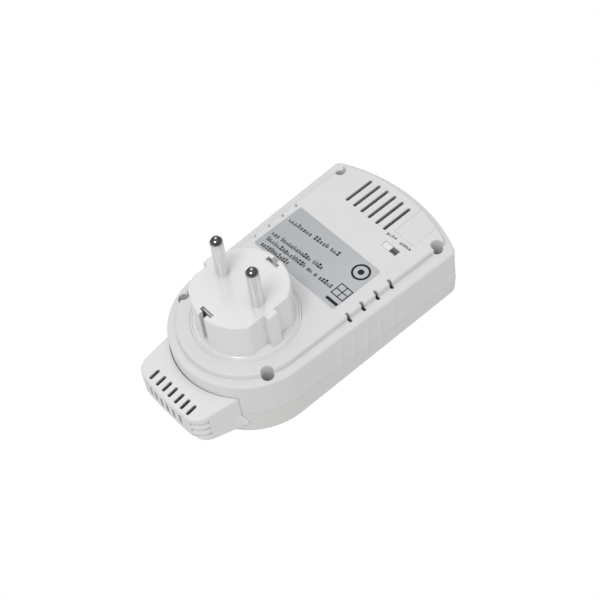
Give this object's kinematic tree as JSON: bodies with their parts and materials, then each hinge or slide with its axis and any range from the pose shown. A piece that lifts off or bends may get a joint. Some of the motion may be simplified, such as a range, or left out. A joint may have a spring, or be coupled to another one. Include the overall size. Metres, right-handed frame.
{
  "type": "plug-in thermostat adapter",
  "caption": "Plug-in thermostat adapter: grounded plug on the rear, socket, display and push buttons on the front, heat/cool slide switch, vented sensor box on the plug end.",
  "frame": {"origin": "midway between the two plug pins, in the engagement face of the plug body", "axes": "+Y to the rear, the way the pins point; +Z along the case from the plug towards the display end; +X along the line of the two pins"},
  "size_m": [0.0644, 0.0714, 0.1246],
  "materials": {
    "shell_white": "moulded ABS, fine spark texture, satin",
    "shell_front": "moulded ABS, fine spark texture, satin",
    "plug_white": "moulded plastic, smoother than the case",
    "pin_nickel": "nickel plated, fine lengthwise drawing marks",
    "contact_brass": "tinned spring brass",
    "socket_white": "moulded plastic, satin",
    "steel_bright": "bright zinc-plated steel",
    "carrier_white": "glass-filled plastic",
    "shutter_white": "acetal",
    "board_green": "glass-epoxy board with green solder mask",
    "relay_blue": "moulded relay case",
    "capacitor_yellow": "moulded capacitor box",
    "sleeve_dark": "shrink sleeve",
    "varistor_blue": "dipped coating",
    "fuse_glass": "clear tube",
    "chip_black": "moulded package",
    "connector_cream": "nylon",
    "frame_white": "light-guide frame",
    "lcd_grey": "reflective display glass",
    "rubber_dark": "layered contact rubber",
    "lens_clear": "clear acrylic",
    "button_grey": "soft satin key",
    "switch_black": "nylon",
    "lamp_red": "tinted epoxy lamp",
    "knob_white": "acetal knob",
    "label_grey": "printed foil label, satin",
    "sensor_white": "moulded ABS, fine spark texture",
    "bead_black": "dipped epoxy bead",
    "lead_black": "PVC sheath",
    "wire_brown": "PVC insulated wire",
    "screw_steel": "zinc-plated screw"
  },
  "bodies": {
    "case": {"rear_shell": "shell_white", "front_shell": "shell_front", "plug_body": "plug_white", "pin_live": "pin_nickel", "pin_neutral": "pin_nickel", "plug_earth_strap": "steel_bright", "socket_insert": "socket_white", "socket_earth_clips": "contact_brass", "earth_rivet": "steel_bright", "contact_carrier": "carrier_white", "contact_live": "contact_brass", "contact_neutral": "contact_brass", "shutter_spring": "steel_bright", "main_board": "board_green", "relay": "relay_blue", "suppression_capacitor": "capacitor_yellow", "electrolytic_capacitor": "sleeve_dark", "varistor": "varistor_blue", "fuse_body": "fuse_glass", "fuse_caps": "steel_bright", "controller_chip": "chip_black", "backup_cell": "steel_bright", "sensor_connector": "connector_cream", "display_board": "board_green", "lcd_frame": "frame_white", "lcd_glass": "lcd_grey", "zebra_strips": "rubber_dark", "window_lens": "lens_clear", "key_switches": "switch_black", "status_led": "lamp_red", "switch_body": "switch_black", "blanking_plate": "shell_white", "rating_label": "label_grey", "sensor_housing": "sensor_white", "sensor_bead": "bead_black", "sensor_lead": "lead_black", "feed_wires": "wire_brown", "case_screws": "screw_steel", "board_screws": "screw_steel"},
    "switch_knob": {"switch_knob": "knob_white"},
    "button_mode": {"button_mode": "button_grey"},
    "button_up": {"button_up": "button_grey"},
    "button_down": {"button_down": "button_grey"},
    "button_program": {"button_program": "button_grey"},
    "button_set": {"button_set": "button_grey"},
    "shutter": {"shutter": "shutter_white"}
  },
  "joints": [
    {"name": "heat_cool_slide", "type": "slide", "parent": "case", "child": "switch_knob", "axis": [-1, 0, 0], "range_m": [0, 0.0034]},
    {"name": "press_mode", "type": "slide", "parent": "case", "child": "button_mode", "axis": [0, 0.9984, -0.0558], "range_m": [0, 0.0006], "stiffness_N_per_m": 1800},
    {"name": "press_up", "type": "slide", "parent": "case", "child": "button_up", "axis": [0, 0.9984, -0.0558], "range_m": [0, 0.0006], "stiffness_N_per_m": 1800},
    {"name": "press_down", "type": "slide", "parent": "case", "child": "button_down", "axis": [0, 0.9984, -0.0558], "range_m": [0, 0.0006], "stiffness_N_per_m": 1800},
    {"name": "press_program", "type": "slide", "parent": "case", "child": "button_program", "axis": [0, 0.9984, -0.0558], "range_m": [0, 0.0006], "stiffness_N_per_m": 1800},
    {"name": "press_set", "type": "slide", "parent": "case", "child": "button_set", "axis": [0, 0.9984, -0.0558], "range_m": [0, 0.0006], "stiffness_N_per_m": 1800},
    {"name": "shutter_turn", "type": "hinge", "parent": "case", "child": "shutter", "pos_m": [0, -0.0319, 0], "axis": [0, 1, 0], "range_deg": [0, 40], "stiffness_Nm_per_rad": 0.01, "deforming": ["shutter_spring"]}
  ]
}
